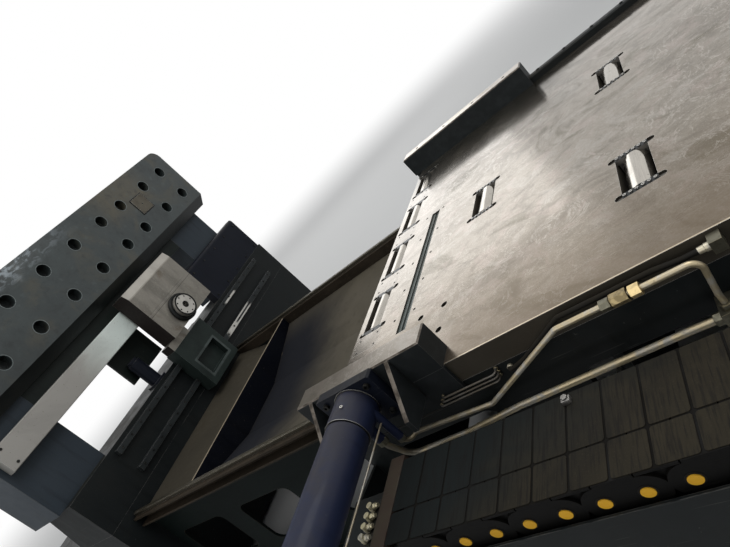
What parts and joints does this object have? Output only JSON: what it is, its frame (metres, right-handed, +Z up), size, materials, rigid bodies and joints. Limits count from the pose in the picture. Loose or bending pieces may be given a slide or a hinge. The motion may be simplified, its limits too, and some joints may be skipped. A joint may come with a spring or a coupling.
{
  "type": "plate sawing and milling machine",
  "caption": "Fixed machine that saws and mills plate: roller table with clamping cylinder, chip trough, spindle carriage on rails and a portal beam.",
  "frame": {"origin": "middle of the machine's outer box, on the floor", "axes": "+X along the table away from the saw unit, +Y from the operator's side to the rear, +Z up"},
  "size_m": [4.9, 3.01, 1.858],
  "materials": {
    "ground_steel": "ground and stained",
    "polished_steel": "polished",
    "dark_steel": "blackened",
    "dark_paint": "satin",
    "beam_paint": "satin",
    "navy_paint": "satin",
    "blue_paint": "gloss",
    "chain_plastic": "matte",
    "yellow_plastic": "matte",
    "tube_steel": "zinc plated",
    "fitting_brass": "plated",
    "brown_paint": "rusty",
    "pan_steel": "dusty"
  },
  "bodies": {
    "bed": {"beam": "beam_paint", "beam_pad": "ground_steel", "bed_ribs": "dark_paint", "bed_wall_front": "dark_paint", "bed_wall_left": "dark_paint", "bed_wall_rear": "dark_paint", "bed_wall_right": "dark_paint", "chain_pins": "yellow_plastic", "chain_tray": "dark_paint", "chip_pan": "pan_steel", "chute_plate": "pan_steel", "column_far": "dark_paint", "column_near": "dark_paint", "cylinder_barrel": "blue_paint", "cylinder_bracket": "dark_paint", "cylinder_flange": "navy_paint", "drag_chain": "chain_plastic", "drive_cover": "navy_paint", "edge_bearings": "dark_steel", "edge_covers": "ground_steel", "far_bar": "dark_steel", "guide_bar": "polished_steel", "levelling_pads": "dark_steel", "lube_tubes": "tube_steel", "near_block": "dark_steel", "portal_web": "beam_paint", "rear_rail": "dark_paint", "roller_bearings": "dark_steel", "saw_base": "dark_paint", "saw_rails": "polished_steel", "saw_wall": "dark_paint", "side_hose": "chain_plastic", "side_motor": "navy_paint", "slot_insert": "dark_steel", "table_plate": "ground_steel", "tray_bar": "brown_paint", "trough_guides": "polished_steel", "trough_partition": "dark_paint", "trough_side_far": "dark_paint", "trough_side_near": "dark_paint", "tube_fittings": "fitting_brass", "tube_high": "tube_steel", "tube_low": "tube_steel", "valve_block": "dark_steel", "valve_fittings": "fitting_brass"},
    "carriage": {"saddle": "dark_paint", "carriage": "ground_steel", "spindle_ring": "dark_steel"},
    "spindle": {"spindle": "polished_steel"},
    "roller_1": {"roller_1": "polished_steel"},
    "roller_2": {"roller_2": "polished_steel"},
    "roller_3": {"roller_3": "polished_steel"},
    "roller_4": {"roller_4": "polished_steel"},
    "roller_5": {"roller_5": "polished_steel"},
    "roller_6": {"roller_6": "polished_steel"},
    "edge_roller_1": {"edge_roller_1": "polished_steel"},
    "edge_roller_2": {"edge_roller_2": "polished_steel"},
    "edge_roller_3": {"edge_roller_3": "polished_steel"},
    "edge_roller_4": {"edge_roller_4": "polished_steel"}
  },
  "joints": [
    {"name": "roller_1_spin", "type": "hinge", "parent": "bed", "child": "roller_1", "pos_m": [0.394, 0.303, 0.612], "axis": [0, 1, 0], "continuous": true},
    {"name": "roller_2_spin", "type": "hinge", "parent": "bed", "child": "roller_2", "pos_m": [0.95, -0.159, 0.612], "axis": [0, 1, 0], "continuous": true},
    {"name": "roller_3_spin", "type": "hinge", "parent": "bed", "child": "roller_3", "pos_m": [0.95, 0.653, 0.612], "axis": [0, 1, 0], "continuous": true},
    {"name": "roller_4_spin", "type": "hinge", "parent": "bed", "child": "roller_4", "pos_m": [1.506, 0.303, 0.612], "axis": [0, 1, 0], "continuous": true},
    {"name": "roller_5_spin", "type": "hinge", "parent": "bed", "child": "roller_5", "pos_m": [2.062, -0.159, 0.612], "axis": [0, 1, 0], "continuous": true},
    {"name": "roller_6_spin", "type": "hinge", "parent": "bed", "child": "roller_6", "pos_m": [2.062, 0.653, 0.612], "axis": [0, 1, 0], "continuous": true},
    {"name": "edge_roller_1_spin", "type": "hinge", "parent": "bed", "child": "edge_roller_1", "pos_m": [-0.076, -0.052, 0.622], "axis": [0, 1, 0], "continuous": true},
    {"name": "edge_roller_2_spin", "type": "hinge", "parent": "bed", "child": "edge_roller_2", "pos_m": [-0.076, 0.306, 0.622], "axis": [0, 1, 0], "continuous": true},
    {"name": "edge_roller_3_spin", "type": "hinge", "parent": "bed", "child": "edge_roller_3", "pos_m": [-0.076, 0.664, 0.622], "axis": [0, 1, 0], "continuous": true},
    {"name": "edge_roller_4_spin", "type": "hinge", "parent": "bed", "child": "edge_roller_4", "pos_m": [-0.076, 1.022, 0.622], "axis": [0, 1, 0], "continuous": true},
    {"name": "carriage_slide", "type": "slide", "parent": "bed", "child": "carriage", "axis": [0, 1, 0], "range_m": [-0.55, 0.7]},
    {"name": "spindle_turn", "type": "hinge", "parent": "carriage", "child": "spindle", "pos_m": [-1.45, 0.493, 1.08], "axis": [1, 0, 0], "continuous": true}
  ]
}
